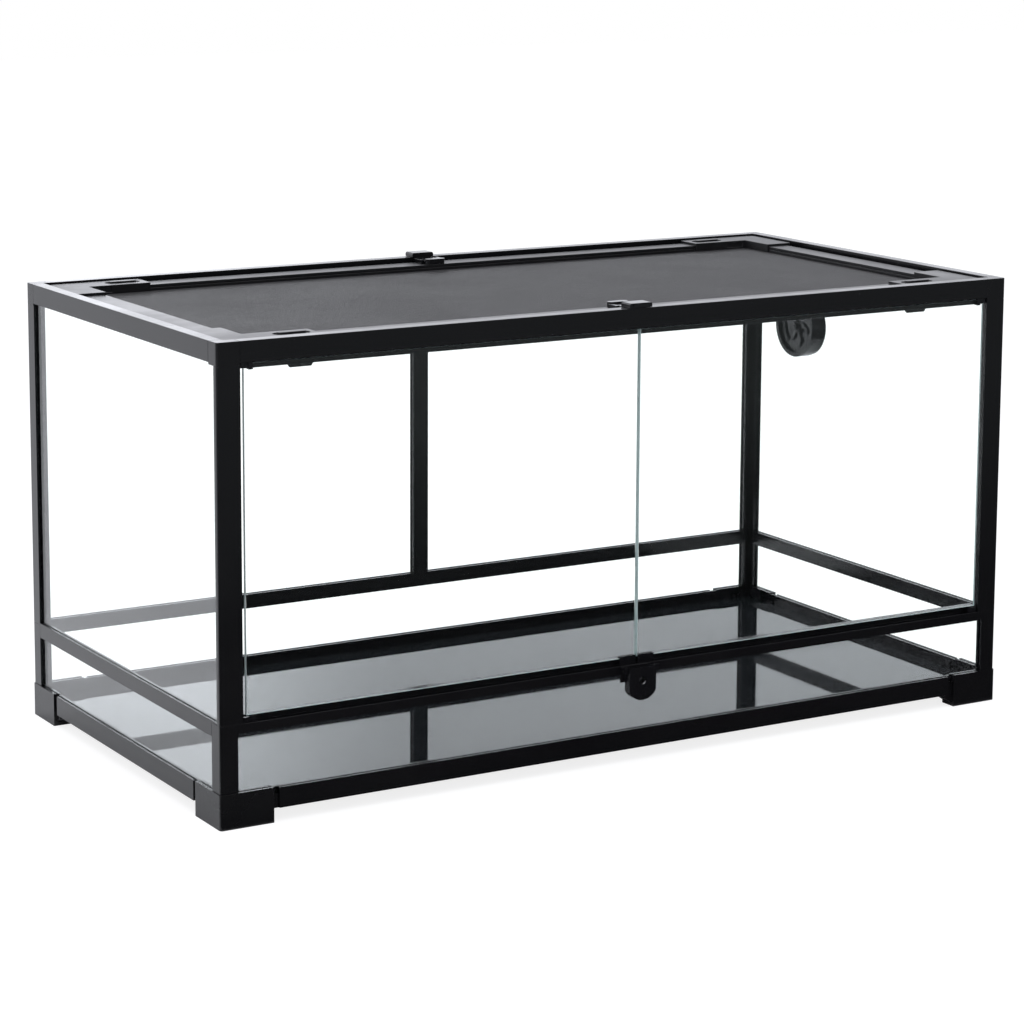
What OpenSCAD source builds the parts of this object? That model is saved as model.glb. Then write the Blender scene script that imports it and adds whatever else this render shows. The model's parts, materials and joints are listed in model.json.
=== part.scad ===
// Front-opening glass terrarium: a black knock-down frame of extruded rails and corner
// pieces that holds glass panels, two hinged glass doors and a lift-off screen lid.
// Origin: middle of the footprint on the table. +X to the viewer's right, -Y the door side.

/* [Overall size] */
// Outer width over the feet
body_w = 914; // [640:1:1300]
// Outer depth over the feet
body_d = 457; // [400:1:700]
// Height from the table to the top rim
body_h = 457; // [380:1:700]
// Height of the middle rails' top edge
mid_top = 106; // [95:1:200]

/* [Feet] */
// How far the feet stand proud of the rails and posts
foot_proud = 0.8; // [0.4:0.1:2]
// Clear height under the base rails
foot_drop = 13; // [11:1:25]
// Length of a foot's full face along each rail
foot_face = 54.5; // [40:0.5:80]
// Length of the set-back neck between a foot and its rail
foot_neck = 8; // [5:0.5:14]
// Step between a foot's top and the base rail's top
foot_step = 1; // [0.5:0.1:3]

/* [Profiles] */
// Face height of the rails
rail_h = 20; // [19:0.5:28]
// Outer wall of the extruded profiles
wall = 2.4; // [2:0.1:3]
// Inner wall of the extruded profiles
inner_wall = 3.2; // [2.8:0.1:5]
// Depth of the glass grooves
groove_d = 6.5; // [5:0.5:7]
// Radius of the upright outer corners
corner_r = 3; // [1:0.5:4]
// Face width of the lower and rear corner posts
post_w = 18.5; // [17:0.5:26]
// Face width of the upper front posts
front_post_w = 24; // [20:0.5:34]
// Side flange of the upper front posts
front_flange = 7; // [6:0.5:10]
// Width of the post in the middle of the back wall
centre_post_w = 18.5; // [17:0.5:30]
// Length of the spigots that hold the corner pieces in the profiles
spigot_len = 14; // [8:1:25]

/* [Glass] */
// Thickness of the wall and door glass
glass_t = 4; // [3:0.5:6]
// Free space on each face of a glass panel in its groove
glass_slack = 0.2; // [0.1:0.05:0.4]
// Thickness of the floor panel
floor_t = 5; // [3:0.5:6]

/* [Doors] */
// Step from the middle rails' top down to the door sill
sill_step = 6.5; // [5:0.5:9]
// Face height of the front middle rail under the sill
sill_face = 9.5; // [9:0.5:16]
// Depth of the stop lip behind the doors' lower edge
sill_lip = 9.8; // [6:0.2:14]
// Height of the stop lip behind the doors' upper edge
top_lip = 6.5; // [4:0.5:10]
// Gap between the two doors
door_gap = 2; // [1:0.5:4]
// Gap above and below a door
door_clear = 1; // [0.8:0.1:2]
// Distance of each hinge axis from its post
hinge_off = 3; // [3:0.1:5]
// Diameter of the hinge pins
pin_d = 2.6; // [2:0.1:3]
// Radial clearance of a pin in its bore
pin_fit = 0.05; // [0.02:0.01:0.1]
// Width of the catch plate on each door's free lower corner
catch_w = 19; // [12:0.5:24]
// Height of the catch plates
catch_h = 8.5; // [6:0.5:14]

/* [Door lock] */
// Width of the lock housing
lock_w = 40; // [32:1:60]
// Height of the pull tab below its pivot
lock_tab_h = 30.5; // [28:0.5:45]
// Reach of the lock in front of the frame
lock_reach = 11.3; // [10:0.1:11.5]

/* [Lid] */
// Width of the frame's top rim
rim_w = 13; // [12:0.5:18]
// Width of the ledge that carries the lid
ledge_w = 13; // [11:0.5:18]
// Thickness of the ledge
ledge_t = 2.5; // [2:0.5:4]
// How far the lid bars lie below the rim
lid_drop = 4.4; // [3:0.2:7]
// Gap between the rim and the lid bars
lid_gap = 9; // [6:0.5:10]
// Width of the lid bars
lid_bar_w = 25; // [20:0.5:34]
// Height of the lid bars
lid_bar_h = 8.1; // [7.6:0.1:12]
// Length of a lid corner's long arm, along X
lid_arm_x = 100; // [80:1:130]
// Length of a lid corner's short arm, along Y
lid_arm_y = 76; // [55:1:100]
// How far the lid corners stand above the bars
lid_corner_rise = 2.6; // [1.5:0.1:3]
// Thickness of the screen
screen_t = 0.8; // [0.6:0.1:1.2]
// Reach of the locating tabs below the lid
tab_drop = 20.5; // [10:0.5:30]

/* [Lid latches] */
// Width of a latch's head
latch_w = 26; // [20:1:40]
// Height of a latch's head above the rim
latch_rise = 5; // [4:0.5:12]

/* [Cable port] */
// Distance of the port's axis from the back
port_from_back = 109.5; // [60:0.5:130]
// Distance of the port's axis below the rim
port_from_top = 96; // [75:0.5:160]
// Outer diameter of the port
port_d = 70.5; // [60:0.5:80]
// Reach of the port into the cabin, from the glass
port_depth = 15.5; // [10:0.5:24]

/* [Hidden] */
$fn = 48;
eps = 0.01;

frame_black = [0.09, 0.09, 0.1];
glass_tint = [0.75, 0.88, 0.86, 0.35];
floor_dark = [0.12, 0.13, 0.14];
screen_grey = [0.3, 0.3, 0.32];
plastic_black = [0.13, 0.13, 0.14];
steel = [0.7, 0.7, 0.72];

// Outer faces of the rails and posts
frame_x = body_w / 2 - foot_proud;
frame_y = body_d / 2 - foot_proud;

// Profile depths, measured inwards from the outer face
groove_in = wall;
groove_out = wall + glass_t + 2 * glass_slack;
profile_d = groove_out + inner_wall;
glass_in = groove_in + glass_slack;
hollow_to = profile_d - 2;
spigot_slack = 0.2;
edge_slack = 0.3;
pane_seat = post_w - groove_d;
front_seat = wall + 1;

// Levels, measured from the table
base_top = foot_drop + rail_h;
base_groove = base_top - groove_d;
floor_ledge = foot_drop + 4;
ledge_depth = profile_d + 8;
foot_top = base_top + foot_step;
mid_bottom = mid_top - rail_h;
sill = mid_top - sill_step;
sill_bottom = sill - sill_face;
top_bottom = body_h - rail_h;
top_groove = top_bottom + groove_d;
cap_bottom = top_bottom - 2;
cap_leg = 17.5;

// Lid levels and edges
lid_top = body_h - lid_drop;
lid_seat = lid_top - lid_bar_h;
lid_edge = rim_w + lid_gap;
lid_inner = lid_edge + lid_bar_w;
lid_corner_edge = rim_w + 4;
lid_corner_inner = lid_inner + 1.5;
lid_corner_top = lid_top + lid_corner_rise;
screen_top = lid_seat + 1.7;
screen_bite = 5;

// Doors: the glass stands clear of the stop lips and turns about pins near the posts
door_mid = 1.5 + glass_t / 2;
lip_face = door_mid + glass_t / 2 + 1.7;
lip_back = lip_face + 3.3;
hinge_x = frame_x - front_post_w - hinge_off;
pivot_r = pin_d / 2 + 1.3;
pivot_half = glass_t / 2 + 0.9;
pivot_len = 10;
pivot_h = 6;
pivot_pin_reach = 3.5;
notch_w = 8;
notch_h = 4.5;
door_bottom = sill + door_clear;
door_top = top_bottom - door_clear;

// Lock: the tab swings on a pin in front of the middle rail
lock_pin_out = 5.5;
lock_pin_z = sill - 3.8;
lock_ear = 4.1;
barrel_r = 3.2;
plate_t = 2;
plate_drop = 7;
keyhole_r = 4.4;
keyhole_z = lock_pin_z - 11;

// Places a piece drawn against a wall that lies along X, outer face at y = 0
module on_front() { translate([0, -frame_y, 0]) children(); }
module on_back() { mirror([0, 1, 0]) on_front() children(); }
module on_left() { rotate([0, 0, -90]) translate([0, -frame_x, 0]) children(); }
module on_right() { mirror([1, 0, 0]) on_left() children(); }

// Places a piece drawn at a corner whose outer faces are x = 0 and y = 0
module at_corner(right, back) {
  mirror([right, 0, 0]) mirror([0, back, 0]) translate([-frame_x, -frame_y, 0]) children();
}

// Runs a section drawn as (depth, height) along X, or one drawn as (width, height) along Y
module run_x(from, to) { translate([from, 0, 0]) rotate([90, 0, 90]) linear_extrude(to - from) children(); }
module run_y(from, to) { translate([0, to, 0]) rotate([90, 0, 0]) linear_extrude(to - from) children(); }
module span_x(half) { run_x(-half, half) children(); }

// A box given by its two opposite corners
module box(low, high) { translate(low) cube(high - low); }
module area(low, high) { translate(low) square(high - low); }

// Waste outside a rounded corner at the origin
module corner_waste(r) {
  difference() {
    area([-1, -1], [r, r]);
    translate([r, r]) circle(r);
  }
}

// ---- Feet: corner pieces with a leg along each base rail ----
module foot_section(front) {
  difference() {
    union() {
      area([front, 0], [ledge_depth, floor_ledge]);
      area([front, 0], [profile_d, foot_top]);
    }
    area([groove_in, base_groove], [groove_out, foot_top + 1]);
  }
}

module foot_leg() {
  neck_end = foot_face + foot_neck;
  difference() {
    union() {
      run_x(-foot_proud, foot_face) foot_section(-foot_proud);
      run_x(foot_face - eps, neck_end) intersection() {
        foot_section(groove_in);
        area([0, 0], [ledge_depth, base_top]);
      }
    }
    // The neck's underside slopes up from the foot to the rail
    run_y(-1, ledge_depth + 1) polygon([
      [foot_face, -1], [foot_face, foot_drop - 9.5],
      [neck_end, foot_drop - 4.2], [neck_end + 1, foot_drop - 4.2], [neck_end + 1, -1]
    ]);
  }
  run_x(neck_end - eps, neck_end + spigot_len) rail_spigot();
}

module rail_spigot() {
  area([wall + spigot_slack, foot_drop + wall + spigot_slack],
    [hollow_to - spigot_slack, base_groove - wall - spigot_slack]);
}

module foot() {
  difference() {
    union() {
      // The leg along X, and the same leg turned to lie along Y
      foot_leg();
      mirror([1, -1, 0]) foot_leg();
      box([0, 0, base_groove], [pane_seat, pane_seat, foot_top]);
    }
    translate([-foot_proud, -foot_proud, -1]) linear_extrude(foot_top + 2) corner_waste(corner_r);
  }
  translate([wall + spigot_slack, wall + spigot_slack, foot_top - eps])
    cube([hollow_to - wall - 2 * spigot_slack, hollow_to - wall - 2 * spigot_slack, spigot_len]);
}

// ---- Base rails: glass groove above, floor ledge inside, hollow chamber ----
module base_section() {
  difference() {
    union() {
      area([0, foot_drop], [ledge_depth, floor_ledge]);
      area([0, foot_drop], [profile_d, base_top]);
    }
    area([groove_in, base_groove], [groove_out, base_top + 1]);
    area([wall, foot_drop + wall], [hollow_to, base_groove - wall]);
  }
}

module base_rail(half) { span_x(half - foot_face - foot_neck) base_section(); }

// ---- Corner posts, drawn in plan from the corner ----
module post_plan() {
  difference() {
    union() {
      area([0, 0], [post_w, profile_d]);
      area([0, 0], [profile_d, post_w]);
      area([0, 0], [pane_seat, pane_seat]);
    }
    area([pane_seat, groove_in], [post_w + 1, groove_out]);
    area([groove_in, pane_seat], [groove_out, post_w + 1]);
    area([profile_d, profile_d], [post_w, post_w]);
    area([wall, wall], [hollow_to, hollow_to]);
    corner_waste(corner_r);
  }
}

// The upper front posts carry the doors: broad in front, with a short flange over the side glass
module front_post_plan() {
  difference() {
    union() {
      area([0, 0], [front_post_w, profile_d]);
      area([0, 0], [groove_out, front_flange]);
      area([groove_out, 0], [profile_d, profile_d + 4]);
    }
    area([groove_in, front_seat], [groove_out, profile_d + 5]);
    area([-1, front_flange], [groove_out, profile_d + 5]);
    front_hollow(0);
    corner_waste(corner_r);
  }
}

module front_hollow(slack) {
  area([profile_d + wall + slack, wall + slack], [front_post_w - wall - slack, hollow_to - slack]);
}

module lower_post() { translate([0, 0, foot_top]) linear_extrude(sill - foot_top) post_plan(); }
module upper_back_post() { translate([0, 0, sill]) linear_extrude(cap_bottom - sill) post_plan(); }
module upper_front_post() { translate([0, 0, sill]) linear_extrude(cap_bottom - sill) front_post_plan(); }

// ---- Middle rails: a groove above and below ----
module middle_section() {
  difference() {
    area([0, mid_bottom], [profile_d, mid_top]);
    area([groove_in, mid_top - groove_d], [groove_out, mid_top + 1]);
    area([groove_in, mid_bottom - 1], [groove_out, mid_bottom + groove_d]);
  }
}

module middle_rail_along_back() { span_x(frame_x - post_w) middle_section(); }

// The side rails are coped at the front, where the upper post is narrower than the lower one
module middle_rail_along_side() {
  span_x(frame_y - post_w) middle_section();
  start = frame_y - post_w - eps;
  box([start, 0, sill], [frame_y - front_flange, groove_in, mid_top]);
  box([start, groove_out, sill], [frame_y - profile_d - 4, profile_d, mid_top]);
}

// The front rail has the door sill and, behind it, the lip that the doors close against
module sill_section() {
  difference() {
    area([0, sill_bottom], [profile_d, sill]);
    area([groove_in, sill_bottom - 1], [groove_out, sill_bottom + groove_d - 1]);
  }
}

module sill_lip_section() {
  area([lip_face, sill - eps], [lip_face + sill_lip, mid_top]);
  area([profile_d - eps, sill - 2.5], [lip_face + sill_lip, sill]);
}

module middle_rail_front() {
  span_x(frame_x - post_w) sill_section();
  span_x(frame_x - front_post_w) sill_lip_section();
}

// ---- Centre post of the back wall: an H profile between two panes ----
module centre_post() {
  half = centre_post_w / 2;
  web = half - groove_d;
  translate([0, 0, mid_top]) linear_extrude(top_bottom - mid_top) difference() {
    area([-half, 0], [half, profile_d]);
    area([-half - 1, groove_in], [-web, groove_out]);
    area([web, groove_in], [half + 1, groove_out]);
  }
}

// ---- Top rails: rim, hollow chamber, glass groove below and lid ledge inside ----
module top_chamber(slack) {
  area([wall + slack, lid_seat + 1.5 + slack], [rim_w - wall - slack, body_h - wall - slack]);
}

module top_section() {
  difference() {
    union() {
      area([0, top_bottom], [profile_d, lid_seat]);
      area([0, lid_seat - ledge_t], [rim_w, body_h]);
    }
    area([groove_in, top_bottom - 1], [groove_out, top_groove]);
    top_chamber(0);
  }
}

module front_top_section() {
  difference() {
    union() {
      area([0, top_bottom], [lip_back, lid_seat]);
      area([lip_face, top_bottom - top_lip], [lip_back, top_bottom + 1]);
      area([0, lid_seat - ledge_t], [rim_w, body_h]);
    }
    top_chamber(0);
  }
}

// The lid's ledge, rooted in the rim or only lying against it
module ledge_section(root) { area([rim_w - root, lid_seat - ledge_t], [rim_w + ledge_w, lid_seat]); }

module top_rail_along_front() {
  span_x(frame_x - front_post_w) {
    front_top_section();
    ledge_section(1);
  }
  span_x(frame_x - rim_w) ledge_section(0);
}

module top_rail_along_back() {
  span_x(frame_x - post_w) {
    top_section();
    ledge_section(1);
  }
  span_x(frame_x - rim_w) ledge_section(0);
}

module top_rail_along_side() {
  span_x(frame_y - cap_leg) top_section();
  span_x(frame_y - rim_w - ledge_w) ledge_section(1);
}

// ---- Top corners: caps that plug down into the posts and along into the rails ----
module top_corner(face, front) {
  difference() {
    union() {
      box([0, 0, cap_bottom], [face, rim_w, body_h]);
      box([0, 0, cap_bottom], [rim_w, cap_leg, body_h]);
    }
    // Channels for the upper edges of the side glass and, at the back, of the back glass
    box([groove_in, front ? front_seat : pane_seat, cap_bottom - 1], [groove_out, cap_leg + 1, top_groove]);
    if (!front) box([pane_seat, groove_in, cap_bottom - 1], [face + 1, groove_out, top_groove]);
    translate([0, 0, cap_bottom - 1]) linear_extrude(body_h) corner_waste(corner_r);
  }
  run_x(face - eps, face + spigot_len) top_chamber(spigot_slack);
  mirror([1, -1, 0]) run_x(cap_leg - eps, cap_leg + spigot_len) top_chamber(spigot_slack);
  translate([0, 0, cap_bottom - spigot_len]) linear_extrude(spigot_len + eps) {
    if (front) front_hollow(spigot_slack);
    if (!front) area([wall + spigot_slack, wall + spigot_slack], [hollow_to - spigot_slack, hollow_to - spigot_slack]);
  }
}

// ---- Floor and wall glass ----
module floor_sheet() {
  half_x = frame_x - profile_d - edge_slack;
  half_y = frame_y - profile_d - edge_slack;
  box([-half_x, -half_y, floor_ledge], [half_x, half_y, floor_ledge + floor_t]);
}

module pane(from, to, low, high) { box([from, glass_in, low], [to, glass_in + glass_t, high]); }

module lower_pane(half, top) {
  edge = half - pane_seat - edge_slack;
  pane(-edge, edge, base_groove, top - edge_slack);
}

module upper_side_pane() {
  pane(-(frame_y - pane_seat - edge_slack), frame_y - front_seat - edge_slack,
    mid_top - groove_d, top_groove - edge_slack);
}

module upper_back_pane() {
  web = centre_post_w / 2 - groove_d;
  pane(-(frame_x - pane_seat - edge_slack), -(web + edge_slack),
    mid_top - groove_d, top_groove - edge_slack);
}

// ---- Cable port in the right wall: a flanged housing with a turning shutter ----
port_y = body_d / 2 - port_from_back;
port_z = body_h - port_from_top;
port_r = port_d / 2;
tube_r = port_r - 6.5;
bezel_r = port_r - 4.5;
pane_inside = frame_x - glass_in - glass_t;
pane_outside = frame_x - glass_in;
bezel_d = 6;
port_floor = pane_inside - port_depth + bezel_d;
shutter_back = port_floor - 0.3;
shutter_t = 2.1;
port_pin_r = 3;
port_hole_in = 10;
port_hole_out = 23;
port_petals = 3;
petal_angle = 52;

// Axis of the port along +X
module on_port() { translate([0, port_y, port_z]) rotate([0, 90, 0]) children(); }
module disc(from, to, r) { translate([0, 0, from]) cylinder(h = to - from, r = r); }
module ring(from, to, inner, outer) {
  translate([0, 0, from]) linear_extrude(to - from) difference() {
    circle(outer);
    circle(inner);
  }
}

module petals() {
  reach = 2 * port_hole_out;
  for (i = [0 : port_petals - 1])
    rotate(i * 360 / port_petals) intersection() {
      difference() {
        circle(port_hole_out);
        circle(port_hole_in);
      }
      polygon([
        [0, 0],
        [reach * cos(petal_angle / 2), -reach * sin(petal_angle / 2)],
        [reach * cos(petal_angle / 2), reach * sin(petal_angle / 2)]
      ]);
    }
}

module port_housing() {
  color(plastic_black) on_port() {
    difference() {
      union() {
        disc(port_floor, pane_inside, port_r);
        disc(pane_inside - eps, frame_x + 0.4, tube_r);
        disc(pane_outside, frame_x + 0.4, port_r - 1);
        ring(port_floor - bezel_d, port_floor + eps, bezel_r, port_r);
      }
      disc(port_floor + 2, frame_x + 1, tube_r - 3);
      translate([0, 0, port_floor - 1]) linear_extrude(4) petals();
    }
    disc(port_floor - bezel_d, port_floor + 1, port_pin_r);
    disc(port_floor - bezel_d - 0.6, port_floor - bezel_d + 0.4, port_pin_r + 1.6);
  }
}

module port_shutter() {
  face = shutter_back - shutter_t;
  color(plastic_black) on_port() difference() {
    union() {
      disc(face, shutter_back, bezel_r - 0.4);
      disc(face - 2, face + eps, port_pin_r + 4.5);
      // Curved finger ribs between the openings
      for (i = [0 : 2 * port_petals - 1])
        rotate(i * 180 / port_petals) translate([0, 0, face - 2]) linear_extrude(2 + eps) intersection() {
          translate([4, 13]) difference() {
            circle(15);
            circle(13.6);
          }
          difference() {
            area([2, 0], [port_hole_out + 2, port_hole_out]);
            circle(port_pin_r + 4);
          }
          circle(port_hole_out + 1.5);
        }
      // Grip beads round the edge
      for (i = [0 : 23])
        rotate(i * 15) translate([bezel_r - 3.2, 0, face - 1]) cylinder(h = 1 + eps, r = 0.9, $fn = 16);
    }
    translate([0, 0, face - 3]) linear_extrude(shutter_t + 5) rotate(180 / port_petals) petals();
    disc(face - 3, shutter_back + 1, port_pin_r + pin_fit);
  }
}

// ---- Doors ----
// Drawn as the left door, with the hinge axis at x = -hinge_x
module on_hinge() { translate([-hinge_x, door_mid, 0]) children(); }

module door_glass() {
  edge = -hinge_x + 1;
  half = glass_t / 2;
  notch = [notch_w, glass_t + 2, notch_h];
  on_front() difference() {
    box([edge, door_mid - half, door_bottom], [-door_gap / 2, door_mid + half, door_top]);
    translate([edge - 1, door_mid - half - 1, door_bottom - eps]) cube(notch);
    translate([edge - 1, door_mid - half - 1, door_top - notch_h + eps]) cube(notch);
  }
}

// A pivot block fills the notch at the corner of the glass and grips both faces beside it
module pivot_block() {
  low = -door_clear + 0.3;
  half = glass_t / 2;
  difference() {
    union() {
      disc(low, notch_h - 0.3, pivot_r);
      box([0, -half, low], [notch_w - 0.3, half, notch_h - 0.3]);
      for (side = [0, 1]) mirror([0, side, 0])
        box([hinge_off + 2.5, half + 0.1, low], [pivot_len, pivot_half, pivot_h]);
      box([hinge_off + 2.5, -pivot_half, low], [notch_w - 0.3, pivot_half, notch_h - 0.3]);
    }
    disc(low - 1, pivot_pin_reach + 0.5, pin_d / 2 + pin_fit);
  }
}

// The catch plate folds round the free lower corner of the glass
module catch_plate() {
  half = glass_t / 2;
  low = -door_clear + 0.3;
  difference() {
    box([-catch_w - door_gap / 2, door_mid - pivot_half, low], [-door_gap / 2, door_mid + pivot_half, catch_h]);
    box([-catch_w - door_gap, door_mid - half - 0.05, 0], [0, door_mid + half + 0.05, catch_h + 1]);
  }
}

module door_fittings() {
  on_front() {
    translate([0, 0, door_bottom]) on_hinge() pivot_block();
    translate([0, 0, door_top]) mirror([0, 0, 1]) on_hinge() pivot_block();
    translate([0, 0, door_bottom]) catch_plate();
  }
}

module hinge_pins() {
  color(steel) {
    for (side = [0, 1]) mirror([side, 0, 0]) on_front() on_hinge() {
      disc(sill, door_bottom + pivot_pin_reach, pin_d / 2);
      disc(door_top - pivot_pin_reach, top_bottom, pin_d / 2);
    }
    on_lock_pin() disc(-lock_w / 2, lock_w / 2, pin_d / 2);
  }
}

// ---- Door lock ----
module on_lock_pin() { on_front() translate([0, -lock_pin_out, lock_pin_z]) rotate([0, 90, 0]) children(); }

module lock_housing() {
  half = lock_w / 2;
  top = sill - 0.3;
  color(plastic_black) difference() {
    on_front() {
      box([-half, -plate_t, sill_bottom - plate_drop], [half, 0, top]);
      for (side = [0, 1]) mirror([side, 0, 0])
        box([half - lock_ear, -lock_pin_out - barrel_r, lock_pin_z - barrel_r], [half, -plate_t + eps, top]);
    }
    on_lock_pin() disc(-lock_w, lock_w, pin_d / 2 + pin_fit);
  }
}

// Outline of the pull tab: straight sides and a shallow arc below, less an even margin
module tab_outline(half, margin) {
  arc = half + 2;
  intersection() {
    area([-half + margin, lock_pin_z - lock_tab_h], [half - margin, lock_pin_z - margin]);
    translate([0, lock_pin_z - lock_tab_h + arc]) circle(arc - margin);
  }
}

// The pull tab is a moulded shell, open behind, with the lock's barrel in its front
module lock_pull_tab() {
  half = lock_w / 2 - lock_ear - 0.3;
  back = -plate_t - 0.4;
  face = -lock_reach;
  skin = 2.2;
  color(plastic_black) difference() {
    union() {
      on_lock_pin() disc(-half, half, barrel_r);
      on_front() difference() {
        run_y(face, back) tab_outline(half, 0);
        run_y(face + skin, back + 1) tab_outline(half, skin);
      }
      // Solid bar between the shell and the pin
      on_front() box([-half, face, lock_pin_z - barrel_r], [half, -lock_pin_out, lock_pin_z + barrel_r]);
      on_front() run_y(face + skin - eps, back) translate([0, keyhole_z]) circle(keyhole_r + 2);
    }
    on_front() run_y(face - 1, face + 0.8) translate([0, keyhole_z]) circle(keyhole_r);
    on_front() run_y(face - 1, face + 3) area([-0.6, keyhole_z - 2.6], [0.6, keyhole_z + 2.6]);
    on_lock_pin() disc(-lock_w, lock_w, pin_d / 2 + pin_fit);
  }
}

// ---- Lid ----
// Space for the screen in the bars' and corners' inner slots
module screen_sheet(slack) {
  half_x = frame_x - lid_inner + screen_bite + slack;
  half_y = frame_y - lid_inner + screen_bite + slack;
  box([-half_x, -half_y, screen_top - screen_t - slack], [half_x, half_y, screen_top + slack]);
}

module lid_chamber(slack) {
  area([lid_edge + wall + slack, screen_top + 0.7 + slack], [lid_inner - screen_bite - wall - slack, lid_top - wall - slack]);
}

module lid_bar_section() {
  bead = (screen_top + lid_top) / 2;
  difference() {
    area([lid_edge, lid_seat], [lid_inner, lid_top]);
    lid_chamber(0);
    polygon([[lid_inner - 0.9, bead], [lid_inner + 1, bead - 0.8], [lid_inner + 1, bead + 0.8]]);
  }
}

module lid_bar_along_x() { span_x(frame_x - lid_corner_edge - lid_arm_x) lid_bar_section(); }
module lid_bar_along_y() { span_x(frame_y - lid_corner_edge - lid_arm_y) lid_bar_section(); }

module stadium(length, width) {
  area([-(length - width) / 2, -width / 2], [(length - width) / 2, width / 2]);
  for (side = [-1, 1]) translate([side * (length - width) / 2, 0]) circle(width / 2);
}

// L-shaped lid corner: arms that plug into the bars, a grip boss and a locating tab
module lid_corner() {
  end_x = lid_corner_edge + lid_arm_x;
  end_y = lid_corner_edge + lid_arm_y;
  boss_x = end_x - 25;
  boss_y = (lid_corner_edge + lid_corner_inner) / 2;
  tab_y = rim_w + ledge_w + 1;
  tab_x = boss_x + 6;
  difference() {
    translate([0, 0, lid_seat]) linear_extrude(lid_corner_top - lid_seat) difference() {
      union() {
        area([lid_corner_edge, lid_corner_edge], [end_x, lid_corner_inner]);
        area([lid_corner_edge, lid_corner_edge], [lid_corner_inner, end_y]);
      }
      translate([lid_corner_edge, lid_corner_edge]) corner_waste(6);
    }
    translate([boss_x, boss_y, lid_corner_top - 1.5]) linear_extrude(2) stadium(38, 14);
    // Hand recess in the arm's inner side
    box([boss_x - 40, lid_corner_inner - 1, screen_top + 1.5], [boss_x - 18, lid_corner_inner + 1, lid_corner_top - 1.5]);
  }
  translate([boss_x, boss_y, lid_corner_top - 1.5 - eps]) linear_extrude(body_h - 0.2 - lid_corner_top + 1.5) stadium(30, 7);
  run_x(end_x - eps, end_x + spigot_len) lid_chamber(spigot_slack);
  mirror([1, -1, 0]) run_x(end_y - eps, end_y + spigot_len) lid_chamber(spigot_slack);
  run_y(tab_y, tab_y + 3) polygon([
    [tab_x - 13, lid_seat + eps], [tab_x + 13, lid_seat + eps],
    [tab_x + 13, lid_seat - tab_drop + 3], [tab_x + 11, lid_seat - tab_drop],
    [tab_x - 11, lid_seat - tab_drop], [tab_x - 13, lid_seat - tab_drop + 3]
  ]);
}

// ---- Lid latches: a bolt that slides in two runners, with its head over the rim ----
bolt_half = latch_w / 2 - 2;
bolt_low = lid_top + 0.4;
bolt_top = body_h - 0.4;
runner_from = lid_edge + 1;
runner_to = lid_edge + 16;
rebate = 1.1;

module latch_runner() {
  out = bolt_half + 0.3;
  run_y(runner_from, runner_to) polygon([
    [out, lid_top], [out + 3, lid_top], [out + 3, bolt_top + 0.5],
    [out - rebate + 0.3, bolt_top + 0.5], [out - rebate + 0.3, bolt_top - 0.6], [out, bolt_top - 0.6]
  ]);
}

module latch_bolt() {
  union() {
    // Sliding plate with rebated edges
    run_y(rim_w + 0.4, lid_inner - 4) {
      area([-bolt_half + rebate, bolt_low], [bolt_half - rebate, bolt_top]);
      area([-bolt_half, bolt_low], [bolt_half, bolt_top - 0.9]);
    }
    // Rounded grip at the inner end
    translate([0, lid_inner - 4, bolt_low]) linear_extrude(5.4) stadium(latch_w - 3, 8);
    // Head over the rim
    difference() {
      box([-latch_w / 2, 0, body_h + 0.3], [latch_w / 2, rim_w + 3, body_h + latch_rise]);
      box([-latch_w / 2 + 3, -1, body_h + 2], [-latch_w / 2 + 5, 1.2, body_h + latch_rise - 1]);
      for (side = [0, 1]) mirror([side, 0, 0])
        translate([latch_w / 2, 0, body_h + latch_rise]) rotate([0, 45, 0]) cube([2, 60, 2], center = true);
    }
    box([-bolt_half + rebate, rim_w + 0.4, bolt_low], [bolt_half - rebate, rim_w + 3, body_h + 1]);
  }
}

module lid_latch_guides() {
  color(plastic_black) for (back = [0, 1]) mirror([0, back, 0]) on_front()
    for (side = [0, 1]) mirror([side, 0, 0]) latch_runner();
}

color(frame_black) at_corner(0, 0) foot();  // foot_front_left
color(frame_black) at_corner(1, 0) foot();  // foot_front_right
color(frame_black) at_corner(0, 1) foot();  // foot_back_left
color(frame_black) at_corner(1, 1) foot();  // foot_back_right
color(frame_black) on_front() base_rail(frame_x);  // base_rail_front
color(frame_black) on_back() base_rail(frame_x);  // base_rail_back
color(frame_black) on_left() base_rail(frame_y);  // base_rail_left
color(frame_black) on_right() base_rail(frame_y);  // base_rail_right
color(frame_black) at_corner(0, 0) lower_post();  // lower_post_front_left
color(frame_black) at_corner(1, 0) lower_post();  // lower_post_front_right
color(frame_black) at_corner(0, 1) lower_post();  // lower_post_back_left
color(frame_black) at_corner(1, 1) lower_post();  // lower_post_back_right
color(frame_black) on_front() middle_rail_front();
color(frame_black) on_back() middle_rail_along_back();  // middle_rail_back
color(frame_black) on_left() middle_rail_along_side();  // middle_rail_left
color(frame_black) on_right() middle_rail_along_side();  // middle_rail_right
color(frame_black) at_corner(0, 0) upper_front_post();  // upper_post_front_left
color(frame_black) at_corner(1, 0) upper_front_post();  // upper_post_front_right
color(frame_black) at_corner(0, 1) upper_back_post();  // upper_post_back_left
color(frame_black) at_corner(1, 1) upper_back_post();  // upper_post_back_right
color(frame_black) on_back() centre_post();  // back_centre_post
color(frame_black) on_front() top_rail_along_front();  // top_rail_front
color(frame_black) on_back() top_rail_along_back();  // top_rail_back
color(frame_black) on_left() top_rail_along_side();  // top_rail_left
color(frame_black) on_right() top_rail_along_side();  // top_rail_right
color(frame_black) at_corner(0, 0) top_corner(front_post_w, true);  // top_corner_front_left
color(frame_black) at_corner(1, 0) top_corner(front_post_w, true);  // top_corner_front_right
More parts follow.
